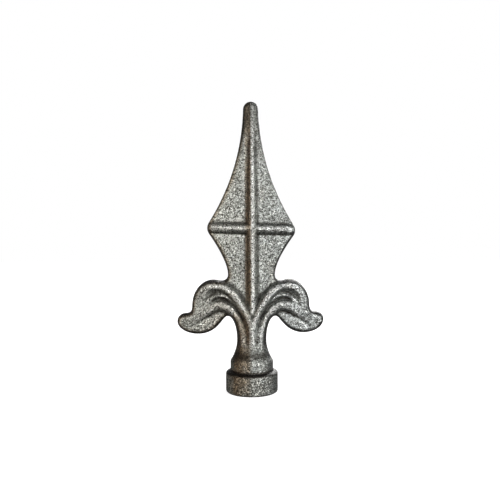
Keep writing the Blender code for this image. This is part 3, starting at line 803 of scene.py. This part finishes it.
def makeSkinTree():
    tree = bpy.data.node_groups.new("blastedSkin", "GeometryNodeTree")
    tree.interface.new_socket("Geometry", in_out="OUTPUT", socket_type="NodeSocketGeometry")
    tree.interface.new_socket("Geometry", in_out="INPUT", socket_type="NodeSocketGeometry")
    for name, value in skin.items():
        socket = tree.interface.new_socket(name, in_out="INPUT", socket_type="NodeSocketFloat")
        socket.default_value = value
    tree.interface.new_socket("Iron", in_out="INPUT", socket_type="NodeSocketMaterial")
    given = addNode(tree, "NodeGroupInput").outputs
    place = addNode(tree, "GeometryNodeInputPosition")
    normal = addNode(tree, "GeometryNodeInputNormal")
    depths = []
    for size, depth in (("Lump Size", "Lump Depth"), ("Grain Size", "Grain Depth")):
        scale = addNode(tree, "ShaderNodeMath", {0: 1.0, 1: given[size]}, operation="DIVIDE")
        values = {"Vector": place, "W": given["Seed"], "Scale": scale, "Detail": 2.0}
        noise = addNode(tree, "ShaderNodeTexNoise", values, noise_dimensions="4D")
        depths.append(addNode(tree, "ShaderNodeMath", {0: noise, 1: given[depth]}, operation="MULTIPLY"))
    inwards = addNode(tree, "ShaderNodeMath", {0: depths[0], 1: depths[1]}, operation="ADD")
    turned = addNode(tree, "ShaderNodeMath", {0: inwards, 1: -1.0}, operation="MULTIPLY")
    shift = addNode(tree, "ShaderNodeVectorMath", {0: normal, "Scale": turned}, operation="SCALE")
    pushed = addNode(tree, "GeometryNodeSetPosition", {"Geometry": given["Geometry"], "Offset": shift})
    whole = addNode(tree, "GeometryNodeRealizeInstances", {"Geometry": pushed})
    coated = addNode(tree, "GeometryNodeSetMaterial", {"Geometry": whole, "Material": given["Iron"]})
    addNode(tree, "NodeGroupOutput", {"Geometry": coated})
    return tree


skinTree = makeSkinTree()
skinModifier = ironBody.modifiers.new("blastedSkin", "NODES")
skinModifier.node_group = skinTree
for item in skinTree.interface.items_tree:
    if item.in_out == "INPUT" and item.name in skin:
        skinModifier[item.identifier] = skin[item.name]
    elif item.in_out == "INPUT" and item.name == "Iron":
        skinModifier[item.identifier] = blastedIron
bpy.context.view_layer.update()
skinMesh = plainMesh(ironBody)
ironBody.modifiers.clear()
ironBody.data = skinMesh
skinMesh.name = "ironFinial"

points, _ = meshArrays(skinMesh)
inBox = np.clip(points, np.array(cadLow), np.array(cadHigh))
skinMesh.vertices.foreach_set("co", inBox.ravel())
skinMesh.shade_smooth()
skinMesh.update()
print("skin pressed in:", len(skinMesh.polygons), "faces")

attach(ironBody, "root")
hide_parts("spear_finial")


studio = {
    "floor": "#f4f4f3",
    "floorGlow": 0.75,  # a lightbox under the white card
    "floorReach": 3.0,
    "aim": (0, 0, 0.07),  # the soft lights look at the middle of the blade's foot
    "background": 1.0,
    "ambient": 0.13,
    "keyDirection": (0.78, -0.58, 0.20),  # from the right, in front and above
    "keyStrength": 3.2,
    "keySoftness": math.radians(16),
    "lights": (
        # name, place, size, watts, colour
        ("frontSoft", (0.22, -0.92, 0.26), 0.55, 3.5, "#ffffff"),
        ("leftSoft", (-0.38, -0.88, 0.18), 0.50, 4.5, "#ffffff"),
        ("warmLeft", (-0.50, -0.22, 0.05), 0.30, 0.60, "#c99a62"),
        ("behindSoft", (0.30, 0.85, 0.35), 0.50, 4.5, "#ffffff"),
    ),
}

floorMesh = bpy.data.meshes.new("paleFloor")
reach = studio["floorReach"]
floorCorners = [(-reach, -reach, 0), (reach, -reach, 0), (reach, reach, 0), (-reach, reach, 0)]
floorMesh.from_pydata(floorCorners, [], [(0, 1, 2, 3)])
floor = bpy.data.objects.new("paleFloor", floorMesh)
bpy.context.scene.collection.objects.link(floor)
paleBoard = bpy.data.materials.new("paleBoard")  # matt white card
paleBoard.use_nodes = True
paleShader = paleBoard.node_tree.nodes["Principled BSDF"]
paleShader.inputs["Base Color"].default_value = linearColour(studio["floor"])
paleShader.inputs["Roughness"].default_value = 0.9
paleShader.inputs["Emission Color"].default_value = (1, 1, 1, 1)
paleShader.inputs["Emission Strength"].default_value = studio["floorGlow"]
floorMesh.materials.append(paleBoard)
floor.visible_glossy = False
floor.visible_diffuse = False

key = bpy.data.lights.new("keyRight", "SUN")
key.energy = studio["keyStrength"]
key.angle = studio["keySoftness"]
keyObject = bpy.data.objects.new("keyRight", key)
keyObject.rotation_euler = Vector(studio["keyDirection"]).to_track_quat("Z", "Y").to_euler()
bpy.context.scene.collection.objects.link(keyObject)

for name, place, size, watts, colour in studio["lights"]:
    lamp = bpy.data.lights.new(name, "AREA")
    lamp.size = size
    lamp.energy = watts
    lamp.color = linearColour(colour)[:3]
    lampObject = bpy.data.objects.new(name, lamp)
    lampObject.location = place
    aim = Vector(studio["aim"]) - Vector(place)
    lampObject.rotation_euler = aim.to_track_quat("-Z", "Y").to_euler()
    bpy.context.scene.collection.objects.link(lampObject)

world = bpy.data.worlds.new("studioAir")
world.use_nodes = True
bpy.context.scene.world = world
air = world.node_tree
air.nodes.clear()
seen = addNode(air, "ShaderNodeLightPath").outputs["Is Camera Ray"]
values = {"Value": seen, "To Min": studio["ambient"], "To Max": studio["background"]}
strength = addNode(air, "ShaderNodeMapRange", values)
glow = addNode(air, "ShaderNodeBackground", {"Color": (1, 1, 1, 1), "Strength": strength})
addNode(air, "ShaderNodeOutputWorld", {"Surface": glow})

view = {
    "place": (-0.00065, -0.26, 0.07035),  # close in front, level with the middle of the blade's foot
    "roll": math.radians(0.27),
    "width": 0.25,  # what the picture spans at the object's middle plane
    "sensor": 36,  # in millimetres, as the lens is
    "nearest": 0.01,
}
camera = bpy.data.objects.new("camera", bpy.data.cameras.new("camera"))
bpy.context.scene.collection.objects.link(camera)
camera.location = view["place"]
camera.rotation_euler = (math.pi / 2, view["roll"], 0)
camera.data.sensor_width = view["sensor"]
camera.data.lens = view["sensor"] * -view["place"][1] / view["width"]
camera.data.clip_start = view["nearest"]
bpy.context.scene.camera = camera
bpy.context.scene.view_settings.view_transform = "Standard"
print("studio set")
